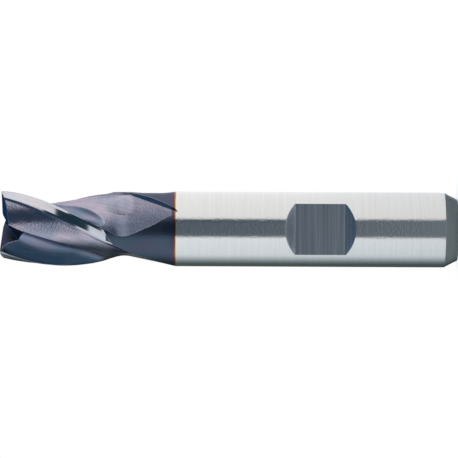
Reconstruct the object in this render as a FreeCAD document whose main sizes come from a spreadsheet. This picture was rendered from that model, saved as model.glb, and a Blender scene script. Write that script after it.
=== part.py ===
"""Three-flute slot drill with a plain shank and a side-lock flat.

The tool stands on the end face of its shank.  The origin is the centre of
that face and +Z runs along the axis to the cutting end.  Sizes are in
millimetres and degrees.
"""

import FreeCAD
import Part
import Sketcher
import math
import os

doc = FreeCAD.newDocument("SlotDrill")

# Driving sizes.  Heights named "..._from_tip" are measured down from the
# cutting end, all others from the end face of the shank.  The tool is as long
# as its shank and its head together.
SIZES = [
    # overall
    ("head_length", 28.0),
    ("cutting_diameter", 12.0),
    ("tooth_count", 3),
    # shank
    ("shank_diameter", 12.0),
    ("shank_length", 45.0),
    ("chamfer_height", 2.1),
    ("chamfer_depth", 1.1),
    # front part of the shank, past the flat, that guides it in its holder
    ("guide_length", 15.0),
    # side-lock flat, ground across the shank with 45 degree run-outs
    ("flat_height", 22.0),
    ("flat_width", 8.0),
    ("flat_distance", 4.4),
    ("flat_slope", 45.0),
    # relieved neck between the teeth and the shank
    ("neck_depth", 0.26),
    ("neck_flare", 2.7),
    ("collar_depth", 0.12),
    ("collar_from_tip", 17.1),
    ("collar_step", 0.5),
    ("neck_straight", 2.6),
    ("neck_taper", 2.0),
    # helix of the flutes
    ("helix_angle", 28.5),
    ("edge_phase", -6.9),
    # how far the cuts start above the tip, and end outside the blank
    ("cut_above", 0.6),
    ("cut_clear", 0.3),
    # gullet: round groove that makes the hooked rake face
    ("gullet_radius", 3.0),
    ("gullet_opening", 80.0),
    ("rake_angle", 10.0),
    ("gullet_from_tip", 11.5),
    ("gullet_wheel", 14.0),
    # back cut: convex tooth back from the gullet up to the heel
    ("back_distance", 3.74),
    ("back_turn", 52.9),
    ("back_chord", 4.05),
    ("back_bulge", 0.42),
    ("heel_reach", 3.755),
    ("heel_lean", 5.0),
    ("run_from_tip", 19.3),
    ("run_blend", 1.6),
    ("run_ease", 1.3),
    ("run_slope", 0.24),
    ("run_bulge", 0.03),
    ("run_lean", -25.0),
    ("heel_from_tip", 20.6),
    ("heel_drift", 0.61),
    # relief of the land behind the cutting edge
    ("edge_width", 0.4),
    ("edge_relief", 10.8),
    ("land_width", 1.15),
    ("land_relief", 21.7),
    ("blend_width", 0.4),
    ("blend_relief", 32.0),
    ("edge_inset", 0.01),
    ("land_from_tip", 16.9),
    ("land_slope", 0.21),
    ("land_run", 3.0),
    # cutting end
    ("dish_angle", 2.5),
    ("end_relief", 9.0),
    ("end_width", 1.1),
    ("end_clearance", 20.0),
    ("end_middle", 0.1),
    # gashes: where their root passes the axis, and their section
    ("gash_depth", 1.14),
    ("gash_slope", 27.4),
    ("gash_rake", -6.0),
    ("gash_floor", 1.46),
    ("gash_drop", 0.9),
    ("gash_opening", 32.0),
    ("gash_stop", 0.9),
    ("centre_reach", 2.6),
]

sheet = doc.addObject("Spreadsheet::Sheet", "Sizes")
for row, (alias, value) in enumerate(SIZES, start=1):
    sheet.set("A%d" % row, alias)
    sheet.set("B%d" % row, "%g" % value)
    sheet.setAlias("B%d" % row, alias)
doc.recompute()

# Measures that follow from the driving sizes, as formulas of the sheet.
TIP = "(Sizes.shank_length + Sizes.head_length)"
RADIUS = "(Sizes.cutting_diameter / 2)"
SHANK = "(Sizes.shank_diameter / 2)"
NECK = "(min(%s; %s) - Sizes.neck_depth)" % (SHANK, RADIUS)
COLLAR = "(%s - Sizes.collar_depth)" % RADIUS
TURN_RATE = "(tan(Sizes.helix_angle * 1deg) * 180 / (pi * %s))" % RADIUS
GULLET_X = "(%s - Sizes.gullet_radius * sin(Sizes.rake_angle * 1deg))" % RADIUS
GULLET_Y = "(Sizes.gullet_radius * cos(Sizes.rake_angle * 1deg))"
GULLET_OUT = "sqrt(pow(%s; 2) + pow(%s; 2))" % (GULLET_X, GULLET_Y)
GULLET_TURN = "atan2(%s; %s)" % (GULLET_Y, GULLET_X)
OUTSIDE = "(max(%s; %s) * 1.5)" % (SHANK, RADIUS)

body = doc.addObject("PartDesign::Body", "SlotDrill")
body.Label = "slot_drill"
body.Placement = FreeCAD.Placement()
PLANES = {item.Role: item for item in body.Origin.OriginFeatures}


def new_feature(kind, name):
    """Return a new feature of the body that keeps its faces as they are cut."""
    feature = body.newObject(kind, name)
    feature.Refine = False
    return feature


def new_sketch(name, plane="XY_Plane"):
    """Return a new sketch of the body on one of its origin planes."""
    sketch = body.newObject("Sketcher::SketchObject", name)
    sketch.AttachmentSupport = (PLANES[plane], [""])
    sketch.MapMode = "FlatFace"
    return sketch


def outline(sketch, corners, arcs=None):
    """Draw a closed outline through corners whose places are formulas.

    corners: list of (x formula, y formula).
    arcs: {edge number: (bulge formula, side)} for the curved edges.  The
    side is 1 where the edge swells to the left of the way from its first
    corner to its second, and -1 where it swells to the right.
    """
    arcs = arcs or {}
    points = []
    for across, along in corners:
        points.append(FreeCAD.Vector(value_of(across), value_of(along), 0))
    total = len(points)
    ends = []
    for number in range(total):
        start = points[number]
        end = points[(number + 1) % total]
        if number in arcs:
            bulge, side = arcs[number]
            sketch.addGeometry(swelling_arc(start, end, value_of(bulge), side), False)
            ends.append((2, 1) if side > 0 else (1, 2))
        else:
            sketch.addGeometry(Part.LineSegment(start, end), False)
            ends.append((1, 2))
    for number in range(total):
        follow = (number + 1) % total
        sketch.addConstraint(
            Sketcher.Constraint("Coincident", number, ends[number][1], follow, ends[follow][0])
        )
    for number, (across, along) in enumerate(corners):
        first = ends[number][0]
        for kind, formula in (("DistanceX", across), ("DistanceY", along)):
            at = sketch.addConstraint(
                Sketcher.Constraint(kind, -1, 1, number, first, value_of(formula))
            )
            sketch.setExpression("Constraints[%d]" % at, formula)
    for number, (bulge, side) in arcs.items():
        chord = "(pow(%s - (%s); 2) + pow(%s - (%s); 2))" % (
            corners[(number + 1) % total][0],
            corners[number][0],
            corners[(number + 1) % total][1],
            corners[number][1],
        )
        radius = "(%s / (8 * (%s)) + (%s) / 2)" % (chord, bulge, bulge)
        at = sketch.addConstraint(Sketcher.Constraint("Radius", number, value_of(radius)))
        sketch.setExpression("Constraints[%d]" % at, radius)


def swelling_arc(start, end, bulge, side):
    """Return the arc from start to end that rises by bulge over its chord."""
    chord = end - start
    radius = chord.Length ** 2 / (8 * bulge) + bulge / 2
    left = FreeCAD.Vector(-chord.y, chord.x, 0).normalize() * side
    centre = (start + end) * 0.5 - left * (radius - bulge)
    circle = Part.Circle(centre, FreeCAD.Vector(0, 0, 1), radius)
    angles = []
    for point in (start, end):
        angles.append(math.atan2(point.y - centre.y, point.x - centre.x))
    if side > 0:
        angles.reverse()
    if angles[1] < angles[0]:
        angles[1] += 2 * math.pi
    return Part.ArcOfCircle(circle, angles[0], angles[1])


def value_of(formula):
    """Return the number that a formula of the sheet has now."""
    value = sheet.evalExpression(formula)
    return float(getattr(value, "Value", value))


def place(sketch, height, turn):
    """Lift a sketch to a height and turn it about the axis, by formulas."""
    sketch.setExpression("AttachmentOffset.Base.z", height)
    sketch.setExpression("AttachmentOffset.Rotation.Angle", "(%s) * 1deg" % turn)


def helix_turn(height):
    """Return the formula of the first cutting edge's angle at a height."""
    return "(Sizes.edge_phase + %s * (%s - %s))" % (TURN_RATE, height, TIP)


def spaced(top, bottom, steps):
    """Return formulas of heights from top to bottom, ends included."""
    heights = []
    for step in range(steps + 1):
        part = "%d / %d" % (step, steps)
        heights.append("((%s) + ((%s) - (%s)) * %s)" % (top, bottom, top, part))
    return heights


# Blank: one turned profile with the shank, its chamfer, the flared neck, the
# collar behind the teeth and the cutting diameter.
blank_sketch = new_sketch("BlankProfile", "XZ_Plane")
outline(
    blank_sketch,
    [
        ("0", "0"),
        (SHANK + " - Sizes.chamfer_depth", "0"),
        (SHANK, "Sizes.chamfer_height"),
        (SHANK, "Sizes.shank_length - Sizes.guide_length"),
        (SHANK, "Sizes.shank_length"),
        (NECK, "Sizes.shank_length + Sizes.neck_flare"),
        (NECK, "Sizes.shank_length + Sizes.neck_flare + Sizes.neck_straight"),
        (COLLAR, "Sizes.shank_length + Sizes.neck_flare + Sizes.neck_straight + Sizes.neck_taper"),
        (COLLAR, TIP + " - Sizes.collar_from_tip"),
        (RADIUS, TIP + " - Sizes.collar_from_tip + Sizes.collar_step"),
        (RADIUS, TIP),
        ("0", "%s - %s * tan(Sizes.dish_angle * 1deg)" % (TIP, RADIUS)),
    ],
    {4: ("(%s - %s) / 4" % (SHANK, NECK), 1)},
)
blank = new_feature("PartDesign::Revolution", "Blank")
blank.Profile = blank_sketch
blank.ReferenceAxis = (blank_sketch, ["V_Axis"])
blank.Angle = 360.0
doc.recompute()

# Side-lock flat on the -Y side of the shank.
flat_sketch = new_sketch("FlatProfile", "YZ_Plane")
FLAT_LOW = "Sizes.flat_height - Sizes.flat_width / 2"
FLAT_HIGH = "Sizes.flat_height + Sizes.flat_width / 2"
FLAT_RISE = "(%s + Sizes.cut_clear - Sizes.flat_distance)" % SHANK
FLAT_RUN = "%s / tan(Sizes.flat_slope * 1deg)" % FLAT_RISE
outline(
    flat_sketch,
    [
        ("-Sizes.flat_distance", FLAT_LOW),
        ("-Sizes.flat_distance", FLAT_HIGH),
        ("-(%s + Sizes.cut_clear)" % SHANK, "%s + %s" % (FLAT_HIGH, FLAT_RUN)),
        ("-(%s + Sizes.cut_clear)" % SHANK, "%s - %s" % (FLAT_LOW, FLAT_RUN)),
    ],
)
flat = new_feature("PartDesign::Pocket", "SideLockFlat")
flat.Profile = flat_sketch
flat.Type = 0
flat.Midplane = True
flat.setExpression("Length", "Sizes.shank_diameter * 1.5")
doc.recompute()

# Gullet: a round section carried down the helix, then lifted out of the tool
# along the circle of the grinding wheel.
CUT_TOP = "(%s + Sizes.cut_above)" % TIP
GULLET_START = "(%s - Sizes.gullet_from_tip)" % TIP
GULLET_LIFT = "(%s + Sizes.cut_clear - (%s - Sizes.gullet_radius))" % (RADIUS, GULLET_OUT)
GULLET_FALL = "(cos(Sizes.helix_angle * 1deg) * sqrt(2 * Sizes.gullet_wheel * %s))" % GULLET_LIFT
GULLET_END = "(%s - %s)" % (GULLET_START, GULLET_FALL)


def cut_between(name, sections):
    """Cut the space between the sections, given from the low end upwards."""
    cut = new_feature("PartDesign::SubtractiveLoft", name)
    cut.Profile = sections[0]
    cut.Sections = sections[1:]
    cut.Ruled = False
    doc.recompute()
    return cut


def gullet_section(name, height):
    """Draw one section of the gullet cut: a round floor, open outwards."""
    sketch = new_sketch(name)
    fall = "(max(%s - %s; 0) / cos(Sizes.helix_angle * 1deg))" % (GULLET_START, height)
    lift = "pow(%s; 2) / (2 * Sizes.gullet_wheel)" % fall
    centre = "(%s + %s)" % (GULLET_OUT, lift)
    near = "(%s - Sizes.gullet_radius * cos(Sizes.gullet_opening * 1deg))" % centre
    far = "(%s + Sizes.gullet_radius)" % centre
    side = "(Sizes.gullet_radius * sin(Sizes.gullet_opening * 1deg))"
    depth = "(Sizes.gullet_radius * (1 - cos(Sizes.gullet_opening * 1deg)))"
    outline(
        sketch,
        [(near, side), (near, "-" + side), (far, "-" + side), (far, side)],
        {0: (depth, -1)},
    )
    place(sketch, height, "%s + %s / 1deg" % (helix_turn(height), GULLET_TURN))
    return sketch


sections = []
for number, height in enumerate(spaced(GULLET_START, CUT_TOP, 8)):
    sections.append(gullet_section("Gullet%02d" % number, height))
gullet = cut_between("GulletCut", sections)
sections = []
for number, height in enumerate(spaced(GULLET_END, GULLET_START, 5)):
    sections.append(gullet_section("GulletEnd%02d" % number, height))
gullet_end = cut_between("GulletRunOut", sections)

# Back cut: a convex face from the gullet up to the heel and a narrow wall
# under the heel.  It follows the helix, eases to a stop, then stays square to
# one direction while it climbs out of the neck, and just nicks the shank.
BACK_START = "(%s - Sizes.run_from_tip)" % TIP
BACK_DEPTH = "(%s + Sizes.cut_clear - Sizes.back_distance)" % SHANK
BACK_END = "(%s - %s / Sizes.run_slope)" % (BACK_START, BACK_DEPTH)


def run_length(height):
    """Return the formula of how far the run-out has gone, which starts gently."""
    eased = "pow(max(%s + Sizes.run_ease - %s; 0); 2)" % (BACK_START, height)
    stopped = "pow(max(%s - Sizes.run_ease - %s; 0); 2)" % (BACK_START, height)
    return "((%s - %s) / (4 * Sizes.run_ease))" % (eased, stopped)


def back_section(name, height):
    """Draw one section of the back cut, square to its own flat."""
    sketch = new_sketch(name)
    fall = "max(%s - %s; 0)" % (BACK_START, height)
    past = "max(%s - Sizes.heel_from_tip - %s; 0)" % (TIP, height)
    changed = "min(%s / Sizes.run_blend; 1)" % fall
    away = "(Sizes.back_distance + Sizes.run_slope * %s)" % run_length(height)
    reach = "(Sizes.heel_reach - Sizes.heel_drift * %s)" % past
    bulge = "(Sizes.back_bulge + (Sizes.run_bulge - Sizes.back_bulge) * %s)" % changed
    lean = "(Sizes.heel_lean + (Sizes.run_lean - Sizes.heel_lean) * %s)" % changed
    wall = "(%s * 0.6)" % RADIUS
    wall_out = "(%s - %s * sin(%s * 1deg))" % (away, wall, lean)
    wall_along = "(%s + %s * cos(%s * 1deg))" % (reach, wall, lean)
    outline(
        sketch,
        [
            (away, "-" + OUTSIDE),
            (away, "%s - Sizes.back_chord" % reach),
            (away, reach),
            (wall_out, wall_along),
            (OUTSIDE, wall_along),
            (OUTSIDE, "-" + OUTSIDE),
        ],
        {1: (bulge, -1)},
    )
    turn = "%s + %s * %s" % (helix_turn(height), TURN_RATE, run_length(height))
    place(sketch, height, turn + " + Sizes.back_turn")
    return sketch


sections = []
for number, height in enumerate(spaced(BACK_START, CUT_TOP, 14)):
    sections.append(back_section("Back%02d" % number, height))
back = cut_between("BackCut", sections)
sections = []
for number, height in enumerate(spaced(BACK_END, BACK_START, 9)):
    sections.append(back_section("BackEnd%02d" % number, height))
back_end = cut_between("BackRunOut", sections)

# Relief: three facets behind the cutting edge, the last one blended down to
# the heel, lifted out of the tool where the teeth end.
LAND_START = "(%s - Sizes.land_from_tip)" % TIP
LAND_END = "(%s - Sizes.land_run)" % LAND_START
AHEAD = "Sizes.cut_clear"


def land_section(name, height):
    """Draw one section of the relief cut behind the cutting edge."""
    sketch = new_sketch(name)
    lift = "(Sizes.land_slope * max(%s - %s; 0) - Sizes.edge_inset)" % (LAND_START, height)
    across = ["(%s + %s + %s * tan(Sizes.edge_relief * 1deg))" % (RADIUS, lift, AHEAD)]
    along = [AHEAD]
    ends = ["%s / cos(Sizes.edge_relief * 1deg) + Sizes.edge_width" % AHEAD]
    ends += ["Sizes.land_width", "Sizes.blend_width * 2"]
    tilts = ["Sizes.edge_relief", "Sizes.land_relief", "Sizes.blend_relief"]
    for width, tilt in zip(ends, tilts):
        across.append("(%s - (%s) * sin(%s * 1deg))" % (across[-1], width, tilt))
        along.append("(%s - (%s) * cos(%s * 1deg))" % (along[-1], width, tilt))
    away = "sqrt(pow(%s; 2) + pow(%s; 2))" % (across[-1], along[-1])
    stretch = "(%s / %s)" % (OUTSIDE, away)
    corners = list(zip(across, along))
    corners.append(("%s * %s" % (across[-1], stretch), "%s * %s" % (along[-1], stretch)))
    corners.append((OUTSIDE, AHEAD))
    outline(sketch, corners)
    place(sketch, height, helix_turn(height))
    return sketch


sections = []
for number, height in enumerate(spaced(LAND_START, CUT_TOP, 8)):
    sections.append(land_section("Land%02d" % number, height))
land = cut_between("LandRelief", sections)
sections = []
for number, height in enumerate(spaced(LAND_END, LAND_START, 3)):
    sections.append(land_section("LandEnd%02d" % number, height))
land_end = cut_between("LandRunOut", sections)

CUTS = [gullet, gullet_end, back, back_end, land, land_end]
teeth = new_feature("PartDesign::PolarPattern", "Teeth")
teeth.Originals = CUTS
teeth.Axis = (PLANES["Z_Axis"], [""])
teeth.Angle = 360.0
teeth.setExpression("Occurrences", "Sizes.tooth_count")
body.Tip = teeth
doc.recompute()

# Cutting end.  Behind each end edge a narrow facet and a steeper one fall
# away, both tilted about the edge, which itself dips towards the axis.
def tilted(sketch, turn, base, pitch, roll):
    """Place a sketch with its X axis along a tooth and tilted about it."""
    place_text = "placement(vector(%s; %s; %s); rotation(%s; %s; %s))"
    sketch.setExpression("AttachmentOffset", place_text % (*base, turn, pitch, roll))


DISH = "(%s * tan(Sizes.dish_angle * 1deg))" % RADIUS
FACET_DROP = "(Sizes.end_width * sin(Sizes.end_relief * 1deg))"
FACET_BACK = "(Sizes.end_width * cos(Sizes.end_relief * 1deg))"

facet_sketch = new_sketch("EndFacetOutline")
outline(
    facet_sketch,
    [
        ("Sizes.end_middle", "-Sizes.end_width * 1.05"),
        (OUTSIDE, "-Sizes.end_width * 1.05"),
        (OUTSIDE, "Sizes.cut_clear"),
        ("Sizes.end_middle", "Sizes.cut_clear"),
    ],
)
tilted(
    facet_sketch,
    "Sizes.edge_phase",
    ("0", "0", "%s - %s" % (TIP, DISH)),
    "-Sizes.dish_angle",
    "Sizes.end_relief",
)
facet = new_feature("PartDesign::Pocket", "EndFacet")
facet.Profile = facet_sketch
facet.Type = 0
facet.Reversed = True
facet.setExpression("Length", "%s / 2" % RADIUS)
doc.recompute()

clear_sketch = new_sketch("EndClearanceOutline")
outline(
    clear_sketch,
    [
        ("Sizes.end_middle * 2", "0"),
        ("Sizes.end_middle * 12", "-" + OUTSIDE),
        (OUTSIDE, "-" + OUTSIDE),
        (OUTSIDE, "0"),
    ],
)
tilted(
    clear_sketch,
    "Sizes.edge_phase",
    (
        "%s * sin(Sizes.edge_phase * 1deg)" % FACET_BACK,
        "-%s * cos(Sizes.edge_phase * 1deg)" % FACET_BACK,
        "%s - %s - %s" % (TIP, DISH, FACET_DROP),
    ),
    "-Sizes.dish_angle",
    "Sizes.end_clearance",
)
clearance = new_feature("PartDesign::Pocket", "EndClearance")
clearance.Profile = clear_sketch
clearance.Type = 0
clearance.Reversed = True
clearance.setExpression("Length", "%s" % RADIUS)
doc.recompute()

ends = new_feature("PartDesign::PolarPattern", "EndFaces")
ends.Originals = [facet, clearance]
ends.Axis = (PLANES["Z_Axis"], [""])
ends.Angle = 360.0
ends.setExpression("Occurrences", "Sizes.tooth_count")
body.Tip = ends
doc.recompute()

# Gashes: a groove in front of each end edge that opens the gullet to the
# middle, with a sloping floor between its two walls.  They stop short of the
# axis, but the one of the centre-cutting tooth runs across it.
GASH_TALL = "(%s)" % RADIUS
GASH_LEAN = "(Sizes.gash_depth * tan(Sizes.gash_rake * 1deg))"


def gash(name, tooth, reach):
    """Cut the groove in front of the end edge of one tooth."""
    turn = "(Sizes.edge_phase - %d * 360 / Sizes.tooth_count)" % tooth
    sketch = new_sketch(name + "Outline")
    outline(
        sketch,
        [
            ("-" + GASH_LEAN, "0"),
            ("Sizes.gash_floor", "-Sizes.gash_drop"),
            (
                "Sizes.gash_floor + %s * tan(Sizes.gash_opening * 1deg)" % GASH_TALL,
                "%s - Sizes.gash_drop" % GASH_TALL,
            ),
            ("%s * tan(Sizes.gash_rake * 1deg) - %s" % (GASH_TALL, GASH_LEAN), GASH_TALL),
        ],
    )
    low = "%s - Sizes.gash_depth + (%s) * tan(Sizes.gash_slope * 1deg)" % (TIP, reach)
    tilted(
        sketch,
        turn + " + 90",
        ("-(%s) * cos(%s * 1deg)" % (reach, turn), "-(%s) * sin(%s * 1deg)" % (reach, turn), low),
        "0",
        "90 + Sizes.gash_slope",
    )
    groove = new_feature("PartDesign::Pocket", name)
    groove.Profile = sketch
    groove.Type = 0
    groove.Reversed = True
    groove.setExpression("Length", "(%s + %s) / cos(Sizes.gash_slope * 1deg)" % (OUTSIDE, reach))
    doc.recompute()
    return groove


first_gash = gash("Gash", 0, "-Sizes.gash_stop")
gashes = new_feature("PartDesign::PolarPattern", "Gashes")
gashes.Originals = [first_gash]
gashes.Axis = (PLANES["Z_Axis"], [""])
gashes.Angle = 360.0
gashes.setExpression("Occurrences", "Sizes.tooth_count")
body.Tip = gashes
doc.recompute()
centre_gash = gash("CentreGash", 1, "Sizes.centre_reach")
body.Tip = centre_gash
doc.recompute()

# Every feature must have built, and the tool must be one closed solid.
for item in doc.Objects:
    if "Invalid" in item.State or "Error" in item.State:
        raise RuntimeError("%s did not build: %s" % (item.Name, item.getStatusString()))
    if hasattr(item, "Shape") and item.isDerivedFrom("PartDesign::Feature"):
        if item.Shape.isNull() or not item.Shape.isValid():
            raise RuntimeError("%s has no valid shape" % item.Name)
if body.Shape.isNull() or not body.Shape.isValid() or len(body.Shape.Solids) != 1:
    raise RuntimeError("the tool is not one valid solid")
print("volume %.2f mm3" % body.Shape.Volume)

os.makedirs("parts", exist_ok=True)
body.Shape.exportStep("parts/slot_drill.step")
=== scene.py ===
"""A short slot drill with a coated cutting end, standing on its shank.

The tool is shaped the way it is ground: a turned blank, then the side-lock
flat, the end faces, the gashes, the gullets, the backs of the teeth and the
reliefs of the lands are cut out of it one after another.  Lengths in the
classes are in millimetres and angles in degrees; meshes are in metres.
"""

import logging
import math
from dataclasses import dataclass
from enum import Enum

import bmesh
import bpy
from mathutils import Matrix, Vector


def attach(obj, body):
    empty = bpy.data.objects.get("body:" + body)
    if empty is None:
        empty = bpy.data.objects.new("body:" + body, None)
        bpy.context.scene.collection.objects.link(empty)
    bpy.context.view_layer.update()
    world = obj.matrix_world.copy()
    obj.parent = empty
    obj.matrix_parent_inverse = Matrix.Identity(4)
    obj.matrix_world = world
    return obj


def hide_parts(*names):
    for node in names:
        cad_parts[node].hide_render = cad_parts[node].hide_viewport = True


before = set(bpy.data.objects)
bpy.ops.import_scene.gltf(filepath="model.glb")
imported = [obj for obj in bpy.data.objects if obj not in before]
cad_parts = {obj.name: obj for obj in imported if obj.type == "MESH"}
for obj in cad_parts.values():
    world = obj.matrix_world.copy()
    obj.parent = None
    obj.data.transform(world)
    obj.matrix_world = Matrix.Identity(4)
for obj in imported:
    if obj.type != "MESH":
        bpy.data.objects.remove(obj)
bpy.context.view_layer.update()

log = logging.getLogger("slot_drill")

MM = 0.001
BODY = "root"
NODE = "slot_drill"

# How far the wound cutters reach past the tip, and the end's cutters past the side.
PAST_TIP = 0.6
PAST_SIDE = 9.0

# The kinds of node that come up most.
MATH = "ShaderNodeMath"
MIX = "ShaderNodeMix"
NOISE = "ShaderNodeTexNoise"
RANGE = "ShaderNodeMapRange"

Point = tuple[float, float]
Place = tuple[float, float, float]
Colour = tuple[float, float, float, float]
Mesh = bpy.types.Mesh
Material = bpy.types.Material
Object = bpy.types.Object
Socket = bpy.types.NodeSocket
Tree = bpy.types.NodeTree


def linear(colour: str) -> Colour:
    """Turn an sRGB hex colour into linear light.

    Args:
        colour: six hex digits, with or without a hash.

    Returns:
        Red, green, blue and an alpha of 1.
    """
    digits = colour.lstrip("#")
    channels = []
    for start in (0, 2, 4):
        value = int(digits[start : start + 2], 16) / 255
        channels.append(value / 12.92 if value <= 0.04045 else ((value + 0.055) / 1.055) ** 2.4)
    return (channels[0], channels[1], channels[2], 1.0)


def add_node(tree: Tree, kind: str, inputs: dict | None = None, **settings: object) -> bpy.types.Node:
    """Add a node with its settings, values and links.

    Args:
        tree: the node tree that gets the node.
        kind: the node's type name.
        inputs: input name or number to a value, or to the socket it is linked from.
        settings: attributes of the node.

    Returns:
        The new node.
    """
    node = tree.nodes.new(kind)
    for name, value in settings.items():
        setattr(node, name, value)
    for key, value in (inputs or {}).items():
        socket = node.inputs[key]
        if isinstance(value, bpy.types.NodeSocket):
            tree.links.new(value, socket)
        else:
            socket.default_value = value
    return node


def set_stops(ramp: bpy.types.Node, stops: list[tuple[float, str]]) -> None:
    """Give a colour ramp its stops.

    Args:
        ramp: the ramp's node.
        stops: each stop's place from 0 to 1 and its colour.
    """
    elements = ramp.color_ramp.elements
    while len(elements) < len(stops):
        elements.new(0.5)
    for element, (at, colour) in zip(elements, stops):
        element.position = at
        element.color = linear(colour)


def laid_over(tree: Tree, colour: Colour | Socket, layers: list[tuple[Socket, Colour | Socket]]) -> Socket:
    """Lay colours over a colour, one after another.

    Args:
        tree: the node tree.
        colour: the lowest colour.
        layers: each layer's mask and colour.

    Returns:
        The result.
    """
    for mask, layer in layers:
        mixed = {"Factor": mask, 6: colour, 7: layer}
        colour = add_node(tree, MIX, mixed, data_type="RGBA").outputs[2]
    return colour


def empty_tree(made: Material | bpy.types.World) -> Tree:
    """Return the emptied node tree of a new material or world."""
    made.use_nodes = True
    made.node_tree.nodes.clear()
    return made.node_tree


def link_object(name: str, mesh: Mesh) -> Object:
    """Put a mesh into the scene as an object at the origin.

    Args:
        name: name of the object.
        mesh: its mesh, which holds its place.

    Returns:
        The new object.
    """
    made = bpy.data.objects.new(name, mesh)
    bpy.context.scene.collection.objects.link(made)
    return made


def plain_mesh(source: Object) -> Mesh:
    """Return the mesh that an object's modifiers make of it.

    Args:
        source: the object with its modifiers.

    Returns:
        A new mesh, with the modifiers applied.
    """
    bpy.context.view_layer.update()
    graph = bpy.context.evaluated_depsgraph_get()
    changed = source.evaluated_get(graph)
    return bpy.data.meshes.new_from_object(changed, preserve_all_data_layers=True, depsgraph=graph)


def mesh_of(name: str, points: list[Place], faces: list[tuple[int, ...]]) -> Mesh:
    """Make a closed mesh with outward faces from points in millimetres.

    Args:
        name: name of the mesh.
        points: corners in millimetres.
        faces: corner numbers of each face.

    Returns:
        The mesh, in metres.
    """
    mesh = bpy.data.meshes.new(name)
    mesh.from_pydata([Vector(point) * MM for point in points], [], faces)
    work = bmesh.new()
    work.from_mesh(mesh)
    bmesh.ops.recalc_face_normals(work, faces=work.faces)
    work.to_mesh(mesh)
    work.free()
    return mesh


def side_faces(size: int, rings: int) -> list[tuple[int, ...]]:
    """Return the faces that join rings of corners, numbered ring by ring.

    Args:
        size: how many corners a ring has.
        rings: how many rings there are.

    Returns:
        The corner numbers of each face.
    """
    faces: list[tuple[int, ...]] = []
    for low in range(0, (rings - 1) * size, size):
        for at in range(size):
            after = (at + 1) % size
            faces.append((low + at, low + after, low + size + after, low + size + at))
    return faces


def lofted(name: str, rings: list[list[Point]], heights: list[float]) -> Mesh:
    """Join rings of as many points each into a closed skin with flat ends.

    Args:
        name: name of the mesh.
        rings: outlines in millimetres, from the lowest up.
        heights: height of each ring in millimetres.

    Returns:
        The closed mesh.
    """
    size = len(rings[0])
    points = [(x, y, z) for ring, z in zip(rings, heights) for x, y in ring]
    faces = side_faces(size, len(rings))
    faces.append(tuple(reversed(range(size))))
    faces.append(tuple(range(len(points) - size, len(points))))
    return mesh_of(name, points, faces)


def prism(name: str, outline: list[Point], place: Matrix, start: float, end: float) -> Mesh:
    """Raise a flat outline into a prism.

    Args:
        name: name of the mesh.
        outline: corners in the plane of the place.
        place: where the plane lies; its Z axis is the way the prism rises.
        start: where the prism starts along that axis.
        end: where it ends.

    Returns:
        The closed mesh.
    """
    points = [tuple(place @ Vector((x, y, level))) for level in (start, end) for x, y in outline]
    size = len(outline)
    faces = [tuple(reversed(range(size))), tuple(range(size, 2 * size))]
    return mesh_of(name, points, faces + side_faces(size, 2))


def steps(low: float, high: float, pitch: float) -> list[float]:
    """Return even steps from low to high, no wider than the pitch."""
    count = max(1, math.ceil((high - low) / pitch))
    return [low + (high - low) * at / count for at in range(count + 1)]


def turned(point: Point, angle: float) -> Point:
    """Turn a point about the axis by an angle in degrees."""
    c, s = math.cos(math.radians(angle)), math.sin(math.radians(angle))
    return (point[0] * c - point[1] * s, point[0] * s + point[1] * c)


@dataclass(frozen=True)
class Helix:
    """The helix that every cutting edge follows.

    The angle of the first edge is `phase` at the tip and falls towards the
    shank, which makes a right-hand tool.
    """

    tip: float = 73.0
    radius: float = 6.0
    angle: float = 28.5
    phase: float = -6.9
    teeth: int = 3

    def rate(self) -> float:
        """Return the turn in degrees for each millimetre of height."""
        return math.degrees(math.tan(math.radians(self.angle)) / self.radius)

    def levels(self, bottom: float, start: float, pitch: float) -> list[float]:
        """Return a wound cutter's heights from its bottom past the tip, with one at its start."""
        return steps(bottom, start, pitch) + steps(start, self.tip + PAST_TIP, pitch)[1:]


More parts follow.
